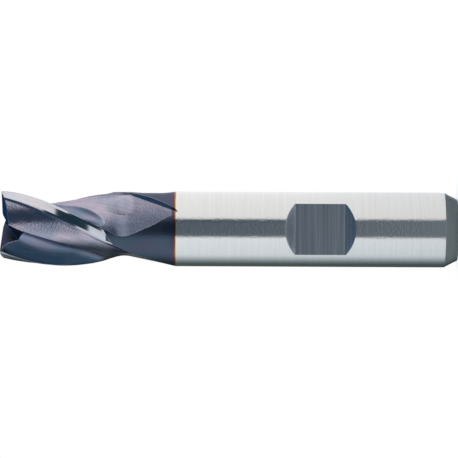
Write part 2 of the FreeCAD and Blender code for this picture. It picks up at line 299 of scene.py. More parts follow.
@dataclass(frozen=True)
class WoundCut:
    """Geometry nodes that wind a straight cutter up the helix, once a tooth.

    The tree turns each point about the axis by its height, repeats the wound
    cutter round the axis and gives it the finish of the face that it leaves.
    """

    helix: Helix = Helix()

    def tree(self) -> Tree:
        """Add the node tree, with named inputs for its sizes.

        Returns:
            The tree.
        """
        tree = bpy.data.node_groups.new("Wound Cut", "GeometryNodeTree")
        for name, kind in (
            ("Geometry", "Geometry"),
            ("Teeth", "Int"),
            ("Turn Per Metre", "Float"),
            ("Phase", "Float"),
            ("Tip", "Float"),
            ("Straight Below", "Float"),
            ("Ease", "Float"),
            ("Finish", "Material"),
        ):
            tree.interface.new_socket(name, in_out="INPUT", socket_type="NodeSocket" + kind)
        tree.interface.new_socket("Geometry", in_out="OUTPUT", socket_type="NodeSocketGeometry")
        given = add_node(tree, "NodeGroupInput").outputs
        place = add_node(tree, "GeometryNodeInputPosition").outputs[0]
        height = add_node(tree, "ShaderNodeSeparateXYZ", {0: place}).outputs["Z"]
        past = add_node(tree, MATH, {0: given["Straight Below"], 1: height}, operation="SUBTRACT").outputs[0]
        # The height that the winding follows slows down over the ease and then stands still.
        ease, wound = given["Ease"], height
        for sign, share in ((1.0, 0.25), (-1.0, -0.25)):
            shifted = add_node(tree, MATH, {0: ease, 1: sign, 2: past}, operation="MULTIPLY_ADD").outputs[0]
            under = add_node(tree, MATH, {0: shifted, 1: 0.0}, operation="MAXIMUM").outputs[0]
            square = add_node(tree, MATH, {0: under, 1: under}, operation="MULTIPLY").outputs[0]
            late = add_node(tree, MATH, {0: square, 1: ease}, operation="DIVIDE").outputs[0]
            wound = add_node(tree, MATH, {0: late, 1: share, 2: wound}, operation="MULTIPLY_ADD").outputs[0]
        below = add_node(tree, MATH, {0: wound, 1: given["Tip"]}, operation="SUBTRACT").outputs[0]
        winding = {0: below, 1: given["Turn Per Metre"], 2: given["Phase"]}
        turn = add_node(tree, MATH, winding, operation="MULTIPLY_ADD").outputs[0]
        spin = {"Vector": place, "Angle": turn}
        spun = add_node(tree, "ShaderNodeVectorRotate", spin, rotation_type="Z_AXIS").outputs[0]
        moved = {"Geometry": given["Geometry"], "Position": spun}
        cutter = add_node(tree, "GeometryNodeSetPosition", moved).outputs[0]
        on_axis = {"Count": given["Teeth"], "Offset": (0.0, 0.0, 0.0)}
        line = add_node(tree, "GeometryNodeMeshLine", on_axis).outputs[0]
        number = add_node(tree, "GeometryNodeInputIndex").outputs[0]
        part = add_node(tree, MATH, {0: math.tau, 1: given["Teeth"]}, operation="DIVIDE").outputs[0]
        angle = add_node(tree, MATH, {0: number, 1: part}, operation="MULTIPLY").outputs[0]
        upright = {"Axis": (0.0, 0.0, 1.0), "Angle": angle}
        about = add_node(tree, "FunctionNodeAxisAngleToRotation", upright).outputs[0]
        copies = {"Points": line, "Instance": cutter, "Rotation": about}
        placed = add_node(tree, "GeometryNodeInstanceOnPoints", copies).outputs[0]
        real = add_node(tree, "GeometryNodeRealizeInstances", {0: placed}).outputs[0]
        dressing = {"Geometry": real, "Material": given["Finish"]}
        dressed = add_node(tree, "GeometryNodeSetMaterial", dressing).outputs[0]
        add_node(tree, "NodeGroupOutput", {0: dressed})
        return tree

    def wind(self, cutter: Object, finish: Material, straight_below: float, ease: float) -> None:
        """Wind a straight cutter and turn the result into a plain mesh.

        Args:
            cutter: the straight cutter of one tooth; its mesh is replaced.
            finish: the material of the face that the cutter leaves.
            straight_below: height in millimetres about which it stops winding.
            ease: how far above and below that height it slows down.
        """
        tree = bpy.data.node_groups.get("Wound Cut") or self.tree()
        modifier = cutter.modifiers.new("Wound Cut", "NODES")
        modifier.node_group = tree
        values = {
            "Teeth": self.helix.teeth,
            "Turn Per Metre": math.radians(self.helix.rate()) / MM,
            "Phase": math.radians(self.helix.phase),
            "Tip": self.helix.tip * MM,
            "Straight Below": straight_below * MM,
            "Ease": ease * MM,
            "Finish": finish,
        }
        for item in tree.interface.items_tree:
            if item.item_type == "SOCKET" and item.in_out == "INPUT" and item.name in values:
                modifier[item.identifier] = values[item.name]
        cutter.data = plain_mesh(cutter)
        cutter.modifiers.clear()


@dataclass(frozen=True)
class Blank:
    """The turned and cylindrically ground blank.

    The rings between the ends of the shank and of the teeth keep the faces
    from getting too long for the cuts.
    """

    chamfer_height: float = 2.1
    chamfer_depth: float = 1.1
    shank_radius: float = 6.0
    shank_length: float = 45.0
    shank_rings: Point = (14.0, 30.0)
    neck_radius: float = 5.74
    neck_flare: float = 2.7
    flare_steps: int = 12
    neck_top: float = 50.3
    collar_radius: float = 5.88
    collar_bottom: float = 52.3
    collar_top: float = 55.9
    collar_step: float = 0.5
    tooth_ring: float = 65.0
    dish: float = 2.5
    tip: float = 73.0
    segments: int = 224

    def profile(self) -> list[Point]:
        """Draw the blank's profile, with a concave flare from the shank to the neck.

        Returns:
            Radius and height of each corner, from the bottom up.
        """
        shank, neck, collar = self.shank_radius, self.neck_radius, self.collar_radius
        points = [(shank - self.chamfer_depth, 0.0), (shank, self.chamfer_height)]
        points += [(shank, height) for height in self.shank_rings]
        rise = shank - neck
        chord = math.hypot(rise, self.neck_flare)
        bulge = rise / 4
        radius = chord**2 / (8 * bulge) + bulge / 2
        for step in range(self.flare_steps + 1):
            part = step / self.flare_steps
            across = (part - 0.5) * chord
            sag = math.sqrt(radius**2 - across**2) - (radius - bulge)
            out = shank - rise * part - sag * self.neck_flare / chord
            points.append((out, self.shank_length + self.neck_flare * part - sag * rise / chord))
        points += [(neck, self.neck_top), (collar, self.collar_bottom), (collar, self.collar_top)]
        points += [(shank, self.collar_top + self.collar_step), (shank, self.tooth_ring), (shank, self.tip)]
        return points

    def mesh(self) -> Mesh:
        """Turn the profile into the closed blank, with its dished tip.

        Returns:
            The mesh; its chamfer and end take the second finish.
        """
        size = self.segments
        points: list[Place] = []
        for radius, height in self.profile():
            for at in range(size):
                angle = math.tau * at / size
                points.append((radius * math.cos(angle), radius * math.sin(angle), height))
        centre, top = len(points), len(points) - size
        points.append((0.0, 0.0, self.tip - self.shank_radius * math.tan(math.radians(self.dish))))
        faces = side_faces(size, centre // size)
        faces.append(tuple(reversed(range(size))))
        faces += [(top + at, top + (at + 1) % size, centre) for at in range(size)]
        mesh = mesh_of("Blank", points, faces)
        for face in mesh.polygons:
            face.material_index = 1 if face.center.z < self.chamfer_height * MM else 0
        return mesh


@dataclass(frozen=True)
class SideLockFlat:
    """The flat that the holder's screw presses on, with sloping ends."""

    height: float = 22.0
    width: float = 8.0
    distance: float = 4.4
    reach: float = 7.5
    half_span: float = 8.0

    def mesh(self) -> Mesh:
        """Draw the cutter's outline in the plane of Y and Z and raise it along X.

        Returns:
            The cutter's mesh.
        """
        low, high = self.height - self.width / 2, self.height + self.width / 2
        rise = self.reach - self.distance
        outline = [(-self.distance, low), (-self.distance, high)]
        outline += [(-self.reach, high + rise), (-self.reach, low - rise)]
        place = Matrix(((0, 0, 1, 0), (1, 0, 0, 0), (0, 1, 0, 0), (0, 0, 0, 1)))
        return prism("SideLockFlat", outline, place, -self.half_span, self.half_span)


@dataclass(frozen=True)
class Gullet:
    """The round groove in front of each cutting edge, lifted out at its end."""

    helix: Helix = Helix()
    radius: float = 3.0
    rake: float = 10.0
    from_tip: float = 11.5
    wheel: float = 14.0
    lifted_clear: float = 0.35
    opening: float = 80.0
    pitch: float = 0.25
    segments: int = 60

    def centre(self) -> Point:
        """Return the centre of the round floor, with the edge on the X axis."""
        lean = math.radians(self.rake)
        return (self.helix.radius - self.radius * math.sin(lean), self.radius * math.cos(lean))

    def mesh(self) -> Mesh:
        """Make the straight cutter of one tooth, which rises on the circle of the wheel at its end.

        Returns:
            The cutter's mesh.
        """
        middle = self.centre()
        out, turn = math.hypot(*middle), math.degrees(math.atan2(middle[1], middle[0]))
        start = self.helix.tip - self.from_tip
        slope = math.cos(math.radians(self.helix.angle))
        lift = self.helix.radius + self.lifted_clear - (out - self.radius)
        heights = self.helix.levels(start - slope * math.sqrt(2 * self.wheel * lift), start, self.pitch)
        side = self.radius * math.sin(math.radians(self.opening))
        rings = []
        for height in heights:
            fall = max(start - height, 0.0) / slope
            away = out + fall**2 / (2 * self.wheel)
            ring = []
            for at in range(self.segments + 1):
                angle = math.radians(180 - self.opening + 2 * self.opening * at / self.segments)
                ring.append((away + self.radius * math.cos(angle), self.radius * math.sin(angle)))
            ring += [(away + self.radius, -side), (away + self.radius, side)]
            rings.append([turned(point, turn) for point in ring])
        return lofted("Gullet", rings, heights)


@dataclass(frozen=True)
class BackCut:
    """The convex back of each tooth with the wall under the heel.

    It follows the helix, then stays square to one direction while it climbs
    out through the neck, which leaves the long flat run-out.  The CAD model
    changes the section evenly over the blend; here the change starts and
    ends softly, which differs by some hundredths of a millimetre.
    """

    helix: Helix = Helix()
    distance: float = 3.74
    turn: float = 52.9
    chord: float = 4.05
    bulge: float = 0.42
    reach: float = 3.755
    lean: float = 5.0
    run_from_tip: float = 19.3
    run_slope: float = 0.24
    run_bulge: float = 0.03
    run_lean: float = -25.0
    blend: float = 1.6
    blend_soft: float = 0.4
    ease: float = 1.3
    heel_from_tip: float = 20.6
    heel_drift: float = 0.61
    end_distance: float = 6.25
    outside: float = 6.7
    least_flat: float = 0.05
    flat_steps: int = 10
    crown_steps: int = 36
    wall_steps: int = 6
    rim_steps: int = 24
    pitch: float = 0.25

    def straight_below(self) -> float:
        """Return the height about which the cut stops winding."""
        return self.helix.tip - self.run_from_tip

    def run_length(self, height: float) -> float:
        """Tell how far the run-out has gone; it starts gently.

        Args:
            height: a height on the tool.

        Returns:
            The length of run-out above that height.
        """
        past = self.straight_below() - height
        eased, stopped = max(past + self.ease, 0.0), max(past - self.ease, 0.0)
        return (eased**2 - stopped**2) / (4 * self.ease)

    def section(self, height: float) -> list[Point]:
        """Draw the cutter's outline at a height, with the edge on the X axis.

        Args:
            height: a height on the tool.

        Returns:
            The outline: flat, crowned back, wall under the heel, and a rim outside the blank.
        """
        fall = self.straight_below() - height
        past = max(self.helix.tip - self.heel_from_tip - height, 0.0)
        part = min(max((fall + self.blend_soft) / (self.blend + 2 * self.blend_soft), 0.0), 1.0)
        changed = part * part * (3.0 - 2.0 * part)
        away = self.distance + self.run_slope * self.run_length(height)
        reach = self.reach - self.heel_drift * past
        bulge = self.bulge + (self.run_bulge - self.bulge) * changed
        lean = math.radians(self.lean + (self.run_lean - self.lean) * changed)
        start = -math.sqrt(self.outside**2 - away**2)
        radius = self.chord**2 / (8 * bulge) + bulge / 2
        ridge = max(reach - self.chord, start + self.least_flat)
        count = self.flat_steps
        outline = [(away, start + (ridge - start) * at / count) for at in range(count)]
        for at in range(self.crown_steps + 1):
            along = ridge + (reach - ridge) * at / self.crown_steps
            across = along - (reach - self.chord / 2)
            sag = math.sqrt(max(radius**2 - across**2, 0.0)) - (radius - bulge)
            outline.append((away + max(sag, 0.0), along))
        toward = (-math.sin(lean), math.cos(lean))
        inward = away * toward[0] + reach * toward[1]
        wall = -inward + math.sqrt(inward**2 - (away**2 + reach**2 - self.outside**2))
        count = self.wall_steps
        for at in range(1, count + 1):
            outline.append((away + toward[0] * wall * at / count, reach + toward[1] * wall * at / count))
        first = math.atan2(outline[-1][1], outline[-1][0])
        last = math.atan2(start, away)
        for at in range(1, self.rim_steps):
            angle = first + (last - first) * at / self.rim_steps
            outline.append((self.outside * math.cos(angle), self.outside * math.sin(angle)))
        return [turned(point, self.turn) for point in outline]

    def mesh(self) -> Mesh:
        """Make the straight cutter of one tooth.

        Returns:
            The cutter's mesh.
        """
        start = self.straight_below()
        bottom = start - (self.end_distance - self.distance) / self.run_slope
        heights = self.helix.levels(bottom, start, self.pitch)
        return lofted("BackCut", [self.section(height) for height in heights], heights)


@dataclass(frozen=True)
class LandRelief:
    """The facets behind each cutting edge, lifted out where the teeth end."""

    helix: Helix = Helix()
    widths: tuple[float, ...] = (0.4, 1.15, 0.8)
    reliefs: tuple[float, ...] = (10.8, 21.7, 32.0)
    inset: float = 0.01
    ahead: float = 0.3
    from_tip: float = 16.9
    run_length: float = 3.0
    slope: float = 0.21
    outside: float = 6.9
    pitch: float = 0.25

    def section(self, height: float) -> list[Point]:
        """Draw the cutter's outline at a height, with the edge on the X axis.

        Args:
            height: a height on the tool.

        Returns:
            The outline: the facets from ahead of the edge back, each in two halves, and the outside.
        """
        lift = self.slope * max(self.helix.tip - self.from_tip - height, 0.0) - self.inset
        first = math.radians(self.reliefs[0])
        at = (self.helix.radius + lift + self.ahead * math.tan(first), self.ahead)
        outline = [at]
        for number, (width, relief) in enumerate(zip(self.widths, self.reliefs)):
            tilt = math.radians(relief)
            length = width + (self.ahead / math.cos(first) if number == 0 else 0.0)
            for half in (0.5, 0.5):
                at = (at[0] - length * half * math.sin(tilt), at[1] - length * half * math.cos(tilt))
                outline.append(at)
        stretch = self.outside / math.hypot(*at)
        return outline + [(at[0] * stretch, at[1] * stretch), (self.outside, self.ahead)]

    def mesh(self) -> Mesh:
        """Make the straight cutter of one tooth.

        Returns:
            The cutter's mesh.
        """
        start = self.helix.tip - self.from_tip
        heights = self.helix.levels(start - self.run_length, start, self.pitch)
        return lofted("LandRelief", [self.section(height) for height in heights], heights)


@dataclass(frozen=True)
class CuttingEnd:
    """The end faces and the gashes between them.

    One gash crosses the axis, so that its tooth cuts to the centre.
    """

    helix: Helix = Helix()
    dish: float = 2.5
    relief: float = 9.0
    width: float = 1.1
    clearance: float = 20.0
    from_axis: Point = (0.1, 0.2)
    corner: float = 1.2
    ahead: float = 0.3
    overlap: float = 0.05
    facet_rise: float = 3.0
    clearance_rise: float = 6.0
    gash_depth: float = 1.14
    gash_slope: float = 27.4
    gash_rake: float = -6.0
    floor_width: float = 1.46
    floor_drop: float = 0.9
    gash_opening: float = 32.0
    gash_reach: float = 0.9
    centre_reach: float = 2.6
    centre_tooth: int = 1

    def edge_turn(self, tooth: int) -> float:
        """Return the angle of a tooth's end edge."""
        return self.helix.phase - tooth * 360 / self.helix.teeth

    def low(self) -> float:
        """Return the height of the end edges on the axis."""
        return self.helix.tip - self.helix.radius * math.tan(math.radians(self.dish))

    def tilted(self, turn: float, base: Place, pitch: float, roll: float) -> Matrix:
        """Turn a place about Z, then pitch it about Y, then roll it about X.

        Args:
            turn: angle about Z.
            base: where its origin lies.
            pitch: angle about the turned Y.
            roll: angle about the turned and pitched X.

        Returns:
            The place.
        """
        spin = Matrix.Rotation(math.radians(turn), 4, "Z")
        tip = Matrix.Rotation(math.radians(pitch), 4, "Y")
        lean = Matrix.Rotation(math.radians(roll), 4, "X")
        return Matrix.Translation(base) @ spin @ tip @ lean

    def facet(self, tooth: int) -> Mesh:
        """Make the cutter of the narrow facet behind one end edge.

        Args:
            tooth: number of the tooth.

        Returns:
            The cutter's mesh.
        """
        width, inner = self.width + self.overlap, self.from_axis[0]
        outline = [(inner, -width), (PAST_SIDE, -width), (PAST_SIDE, self.ahead), (inner, self.ahead)]
        place = self.tilted(self.edge_turn(tooth), (0, 0, self.low()), -self.dish, self.relief)
        return prism("EndFacet", outline, place, 0.0, self.facet_rise)

    def behind(self, tooth: int) -> Mesh:
        """Make the cutter of the steeper clearance behind that facet.

        Args:
            tooth: number of the tooth.

        Returns:
            The cutter's mesh.
        """
        turn = math.radians(self.edge_turn(tooth))
        back = self.width * math.cos(math.radians(self.relief))
        drop = self.width * math.sin(math.radians(self.relief))
        base = (back * math.sin(turn), -back * math.cos(turn), self.low() - drop)
        outline = [(self.from_axis[1], 0.0), (self.corner, -PAST_SIDE)]
        outline += [(PAST_SIDE, -PAST_SIDE), (PAST_SIDE, 0.0)]
        place = self.tilted(self.edge_turn(tooth), base, -self.dish, self.clearance)
        return prism("EndClearance", outline, place, 0.0, self.clearance_rise)

    def gash(self, tooth: int) -> Mesh:
        """Make the cutter of the groove with a sloping floor in front of one end edge.

        Args:
            tooth: number of the tooth.

        Returns:
            The cutter's mesh.
        """
        reach = self.centre_reach if tooth == self.centre_tooth else -self.gash_reach
        turn, slope = math.radians(self.edge_turn(tooth)), math.radians(self.gash_slope)
        rake, tall = math.tan(math.radians(self.gash_rake)), self.helix.radius
        shift = self.gash_depth * rake
        outline = [
            (-shift, 0.0),
            (self.floor_width, -self.floor_drop),
            (self.floor_width + tall * math.tan(math.radians(self.gash_opening)), tall - self.floor_drop),
            (tall * rake - shift, tall),
        ]
        height = self.helix.tip - self.gash_depth + reach * math.tan(slope)
        base = (-reach * math.cos(turn), -reach * math.sin(turn), height)
        place = self.tilted(self.edge_turn(tooth) + 90, base, 0.0, 90 + self.gash_slope)
        return prism("Gash", outline, place, 0.0, PAST_SIDE / math.cos(slope))


class Grain(Enum):
    """Which way the wheel left its marks."""

    ROUND = "round the axis"
    ACROSS = "straight across the tool"
    HELIX = "along the flutes"


@dataclass(frozen=True)
class GroundSteel:
    """High-speed steel as a grinding wheel leaves it, coated at the cutting end.

    The coating is a titanium carbonitride layer of a few micrometres.  Its
    colour wanders between two shades; it is worn bright along the edges, and
    that brightness is also a painted edge highlight; on the backs it darkens
    towards the foot of each run-out as a painted falloff of the highlight.
    It starts beside the bare shank in bands of straw, brown and violet, the
    colours of thin layers.  Real wheel marks lie 0.02 to 0.05 mm apart and
    the coating's speckle is as fine; both are too fine to show, so
    `grain_mm` and `speckle_mm` draw them as coarse as they need to be.
    """

    name: str
    grain: Grain = Grain.ROUND
    bare: str = "#e8e8e8"
    coated: str = "#a79fb4"
    shifted: str = "#7c8ea6"
    # Painted shade laid over the run-outs, darkest at their foot; empty for none.
    painted_falloff: str = ""
    # The bright edges: the coating's wear, and also a painted edge highlight.
    worn_and_highlit: str = "#f4f4f6"
    grazed: str = "#d8d2dc"
    shift_mm: float = 3.0
    bare_roughness: float = 0.12
    coated_roughness: float = 0.2
    uneven_roughness: float = 0.06
    grain_mm: float = 0.18
    grain_length_mm: float = 25.0
    grain_shade: float = 0.06
    grain_depth: float = 0.2
    grain_depth_mm: float = 0.003
    speckle: float = 0.0
    speckle_mm: float = 0.28
    speckle_depth_mm: float = 0.026
    # How far the edges take that worn, painted-highlight colour.
    edge_wear_and_glint: float = 0.6
    edge_span: Point = (0.992, 0.955)
    drift_span: Point = (0.38, 0.62)
    marks_span: Point = (0.3, 0.7)
    coated_from: Point = (0.2, 0.4)
    shifted_from: Point = (0.42, 0.6)
    bevel_mm: float = 0.11
    bevel_wide_mm: float = 0.11
    wide_about: float = 59.2
    wide_span: Point = (4.6, 2.2)
    coating_span: Point = (44.55, 46.95)
    wobble_mm: float = 2.0
    wobble_depth_mm: float = 0.14
    # Where the painted falloff darkens the run-outs: its heights, its spread across, its middle and its lean.
    fade_span: Point = (56.2, 54.6)
    fade_across: Point = (5.2, 0.8)
    fade_middle: float = 51.0
    fade_lean: float = 0.15
    bands: tuple[tuple[float, str], ...] = (
        (0.09, "#f6eee0"),
        (0.20, "#f4e6ce"),
        (0.245, "#b57e62"),
        (0.31, "#8f6250"),
        (0.37, "#5d526c"),
        (0.46, "#635f80"),
    )
    helix: Helix = Helix()

    def spot(self, tree: Tree) -> tuple[Socket, Socket]:
        """Add a spot's place on the tool, and its height."""
        where = add_node(tree, "ShaderNodeTexCoord").outputs["Object"]
        return where, add_node(tree, "ShaderNodeSeparateXYZ", {0: where}).outputs["Z"]

    def grain_noise(self, tree: Tree) -> Socket:
        """Add the wheel marks: noise that is long one way and fine across it.

        Args:
            tree: the material's tree.

        Returns:
            The noise.
        """
        where, height = self.spot(tree)
        fine, long = 1 / (self.grain_mm * MM), 1 / (self.grain_length_mm * MM)
        if self.grain is Grain.HELIX:
            unwinding = {0: height, 1: -math.radians(self.helix.rate()) / MM}
            turn = add_node(tree, MATH, unwinding, operation="MULTIPLY").outputs[0]
            spin = {"Vector": where, "Angle": turn}
            where = add_node(tree, "ShaderNodeVectorRotate", spin, rotation_type="Z_AXIS").outputs[0]
        scale = {
            Grain.ROUND: (long * 2, long * 2, fine),
            Grain.ACROSS: (long, long, fine),
            Grain.HELIX: (fine, fine, long),
        }[self.grain]
        spread = add_node(tree, "ShaderNodeMapping", {"Vector": where, "Scale": scale}).outputs[0]
        marks = {"Vector": spread, "Scale": 1.0, "Detail": 3.0, "Roughness": 0.6}
        return add_node(tree, NOISE, marks).outputs[0]

    def run_out_zone(self, tree: Tree) -> Socket:
        """Add a mask for the heights where the gullets run out.

        Args:
            tree: the material's tree.

        Returns:
            The mask, 1 at those heights.
        """
        height = self.spot(tree)[1]
        past = add_node(tree, MATH, {0: height, 1: self.wide_about * MM}, operation="SUBTRACT").outputs[0]
        away = add_node(tree, MATH, {0: past}, operation="ABSOLUTE").outputs[0]
        span = {"Value": away, "From Min": self.wide_span[0] * MM, "From Max": self.wide_span[1] * MM}
        return add_node(tree, RANGE, span).outputs[0]

    def rounding(self, tree: Tree) -> Socket:
        """Add the normal with its sharp edges rounded, more so where the gullets run out.

        Args:
            tree: the material's tree.

        Returns:
            The rounded normal.
        """
        wider = (self.bevel_wide_mm - self.bevel_mm) * MM
        widening = {0: self.run_out_zone(tree), 1: wider, 2: self.bevel_mm * MM}
        radius = add_node(tree, MATH, widening, operation="MULTIPLY_ADD").outputs[0]
        return add_node(tree, "ShaderNodeBevel", {"Radius": radius}, samples=8).outputs[0]

    def coating_depth(self, tree: Tree) -> Socket:
        """Add how far the coating has set in; its start wanders a little.

        Args:
            tree: the material's tree.

        Returns:
            The depth: 0 on the bare shank, 1 past the bands.
        """
        where, height = self.spot(tree)
        patches = {"Vector": where, "Scale": 1 / (self.wobble_mm * MM), "Detail": 3.0}
        wobble = add_node(tree, NOISE, patches).outputs[0]
        wandering = {0: wobble, 1: self.wobble_depth_mm * MM, 2: height}
        uneven = add_node(tree, MATH, wandering, operation="MULTIPLY_ADD").outputs[0]
        start, end = self.coating_span
        span = {"Value": uneven, "From Min": start * MM, "From Max": end * MM}
        return add_node(tree, RANGE, span).outputs[0]

    def run_out(self, tree: Tree) -> Socket:
        """Add how far down a run-out a spot lies; it places the painted falloff of the run-out's highlight.

        Args:
            tree: the material's tree.

        Returns:
            The mask: 0 at its crest and on the teeth, 1 at its foot.
        """
        parts = add_node(tree, "ShaderNodeSeparateXYZ", {0: self.spot(tree)[0]}).outputs
        raised = {0: parts["Z"], 1: self.fade_middle * MM}
        above = add_node(tree, MATH, raised, operation="SUBTRACT").outputs[0]
        leaning = {0: above, 1: self.fade_lean, 2: parts["X"]}
        across = add_node(tree, MATH, leaning, operation="MULTIPLY_ADD").outputs[0]
        masks = []
        for way, (start, end) in ((across, self.fade_across), (parts["Z"], self.fade_span)):
            span = {"Value": way, "From Min": start * MM, "From Max": end * MM}
            masks.append(add_node(tree, RANGE, span).outputs[0])
        return add_node(tree, MATH, {0: masks[0], 1: masks[1]}, operation="MULTIPLY").outputs[0]

    def wear_and_highlight(self, tree: Tree, rounded: Socket) -> Socket:
        """Add the wear and a painted edge highlight, where the rounded normal turns away from the true one.

        Args:
            tree: the material's tree.
            rounded: the normal that the sharp edges are rounded with.

        Returns:
            How worn and highlit a spot is; a finish with a wide rounding is unworn in its zone.
        """
        true = add_node(tree, "ShaderNodeNewGeometry").outputs["Normal"]
        normals = {0: rounded, 1: true}
        same = add_node(tree, "ShaderNodeVectorMath", normals, operation="DOT_PRODUCT").outputs["Value"]
        start, end = self.edge_span
        edge = add_node(tree, RANGE, {"Value": same, "From Min": start, "From Max": end}).outputs[0]
        worn_and_highlit = add_node(tree, MATH, {0: edge, 1: self.edge_wear_and_glint}, operation="MULTIPLY").outputs[0]
        if self.bevel_wide_mm > self.bevel_mm:
            kept = add_node(tree, MATH, {0: 1.0, 1: self.run_out_zone(tree)}, operation="SUBTRACT").outputs[0]
            worn_and_highlit = add_node(tree, MATH, {0: worn_and_highlit, 1: kept}, operation="MULTIPLY").outputs[0]
        return worn_and_highlit

    def colour(self, tree: Tree, grain: Socket, depth: Socket, rounded: Socket) -> Socket:
        """Add the colour: the bands at the coating's edge, its drift, the painted falloff on the run-outs,
        and its worn edges, which also carry a painted highlight.

        Args:
            tree: the material's tree.
            grain: the wheel marks.
            depth: how far the coating has set in.
            rounded: the normal that the sharp edges are rounded with.

        Returns:
            The colour.
        """
        ramp = add_node(tree, "ShaderNodeValToRGB", {0: depth})
        set_stops(ramp, [(0.0, self.bare), (0.05, self.bare), *self.bands, (0.6, self.coated)])
        patches = {"Vector": self.spot(tree)[0], "Scale": 1 / (self.shift_mm * MM), "Detail": 1.0}
        drift = add_node(tree, NOISE, patches).outputs[0]
        start, end = self.drift_span
        share = add_node(tree, RANGE, {"Value": drift, "From Min": start, "From Max": end}).outputs[0]
        start, end = self.shifted_from
        set_in = add_node(tree, RANGE, {"Value": depth, "From Min": start, "From Max": end}).outputs[0]
        shades = [(share, self.shifted)]
        # Painted shade: the backs darken towards the foot of their run-outs, a painted falloff of the
        # highlight there.
        if self.painted_falloff:
            shades.append((self.run_out(tree), self.painted_falloff))
        layers = []
        for mask, shade in shades:
            part = add_node(tree, MATH, {0: mask, 1: set_in}, operation="MULTIPLY").outputs[0]
            layers.append((part, linear(shade)))
        start, end = self.marks_span
        low, high = 1.0 - self.grain_shade, 1.0 + self.grain_shade
        span = {"Value": grain, "From Min": start, "From Max": end, "To Min": low, "To Max": high}
        marking = add_node(tree, RANGE, span).outputs[0]
        marks = {"Factor": 1.0, 6: laid_over(tree, ramp.outputs[0], layers), 7: marking}
        marked = add_node(tree, MIX, marks, data_type="RGBA", blend_type="MULTIPLY").outputs[2]
        # Worn edges: the coating's wear, also a painted edge highlight.
        return laid_over(tree, marked, [(self.wear_and_highlight(tree, rounded), linear(self.worn_and_highlit))])

    def relief(self, tree: Tree, grain: Socket, rounded: Socket) -> Socket:
        """Add the bump of the wheel marks, and of the coating's speckle where it has one.

        Args:
            tree: the material's tree.
            grain: the wheel marks.
            rounded: the normal that the sharp edges are rounded with.

        Returns:
            The normal.
        """
        layers = [(self.grain_depth, self.grain_depth_mm, grain)]
        if self.speckle:
            patches = {"Vector": self.spot(tree)[0], "Scale": 1 / (self.speckle_mm * MM), "Detail": 1.0}
            grit = add_node(tree, NOISE, patches).outputs[0]
            layers.append((self.speckle, self.speckle_depth_mm, grit))
        normal = rounded
        for strength, deep, height in layers:
            bump = {"Strength": strength, "Distance": deep * MM, "Height": height, "Normal": normal}
            normal = add_node(tree, "ShaderNodeBump", bump).outputs[0]
        return normal

    def material(self) -> Material:
        """Make the material.  The steel's mirror image darkens at grazing angles where it is coated.

        Returns:
            The material.
        """
        made = bpy.data.materials.new(self.name)
        tree = empty_tree(made)
        grain, depth, rounded = self.grain_noise(tree), self.coating_depth(tree), self.rounding(tree)
        start, end = self.coated_from
        mask = add_node(tree, RANGE, {"Value": depth, "From Min": start, "From Max": end}).outputs[0]
        span = {"Value": mask, "To Min": self.bare_roughness, "To Max": self.coated_roughness}
        smooth = add_node(tree, RANGE, span).outputs[0]
        marks = {0: grain, 1: self.uneven_roughness, 2: smooth}
        surface = {
            "Base Color": self.colour(tree, grain, depth, rounded),
            "Metallic": 1.0,
            "Roughness": add_node(tree, MATH, marks, operation="MULTIPLY_ADD").outputs[0],
            "Specular Tint": laid_over(tree, linear("#ffffff"), [(mask, linear(self.grazed))]),
            "Normal": self.relief(tree, grain, rounded),
        }
        steel = add_node(tree, "ShaderNodeBsdfPrincipled", surface).outputs[0]
        add_node(tree, "ShaderNodeOutputMaterial", {0: steel})
        return made


# Ground between two wheels: fine rings draw the tent out into long soft bands; the coated neck is slate.
SHANK = GroundSteel(
    "Centreless-ground high-speed steel",
    coated="#5a5f73",
    shifted="#526374",
    coated_roughness=0.3,
    grain_shade=0.03,
    grain_depth=0.1,
    speckle=0.5,
    edge_wear_and_glint=0.3,
)
# Turned on a lathe: duller than the ground shank beside it, and set greyer, partly as painted shade on the
# dim foot it mirrors.
CHAMFER = GroundSteel(
    "Turned chamfer steel", bare="#a0a8a8", bare_roughness=0.3, grain_shade=0.08, edge_wear_and_glint=0.2
)
# Ground straight across: coarse parallel marks that the eye can count, and bright edges: wear, and a painted
# highlight along the flat's rim.
FLAT = GroundSteel(
    "Surface-ground flat steel",
    grain=Grain.ACROSS,
    bare="#e4e5ea",
    bare_roughness=0.16,
    grain_mm=0.5,
    grain_shade=0.22,
    edge_wear_and_glint=0.9,
)
# Deep-ground and coated: violet turning to blue, set darker and bluer than the backs, partly as painted shade
# in the grooves; marks along the helix, soft where the wheel lifts out.
FLUTE = GroundSteel(
    "Coated ground flute steel",
    grain=Grain.HELIX,
    coated="#9c9cb4",
    shifted="#8797ae",
    coated_roughness=0.28,
    bevel_mm=0.2,
    bevel_wide_mm=0.8,
    grain_mm=0.4,
    grain_shade=0.14,
)
# The lightest coated face: rose-grey with a satin speckle; towards the foot of its run-out it darkens to
# slate, a painted falloff of its highlight.
BACK = GroundSteel(
    "Coated ground back steel",
    grain=Grain.HELIX,
    coated="#cabecf",
    shifted="#acaec1",
    grain_mm=0.4,
    grain_shade=0.14,
    speckle=0.9,
    bevel_mm=0.2,
    bevel_wide_mm=0.8,
    painted_falloff="#787f96",
)
# Fine-ground behind the edge: almost a mirror, pale silver.
LAND = GroundSteel(
    "Coated relief-ground steel",
    grain=Grain.HELIX,
    coated="#dad5dd",
    shifted="#d2d5dc",
    coated_roughness=0.1,
    grain_depth=0.1,
)
# Ground across the end: a clear, even blue.
END = GroundSteel("Coated end-ground steel", grain=Grain.ACROSS, coated="#5287b8", shifted="#4a81b6")
# Roughly ground corner: dark violet and dull.
GASH = GroundSteel(
    "Coated gash-ground steel", grain=Grain.ACROSS, coated="#524e6a", shifted="#46566e", coated_roughness=0.5
)


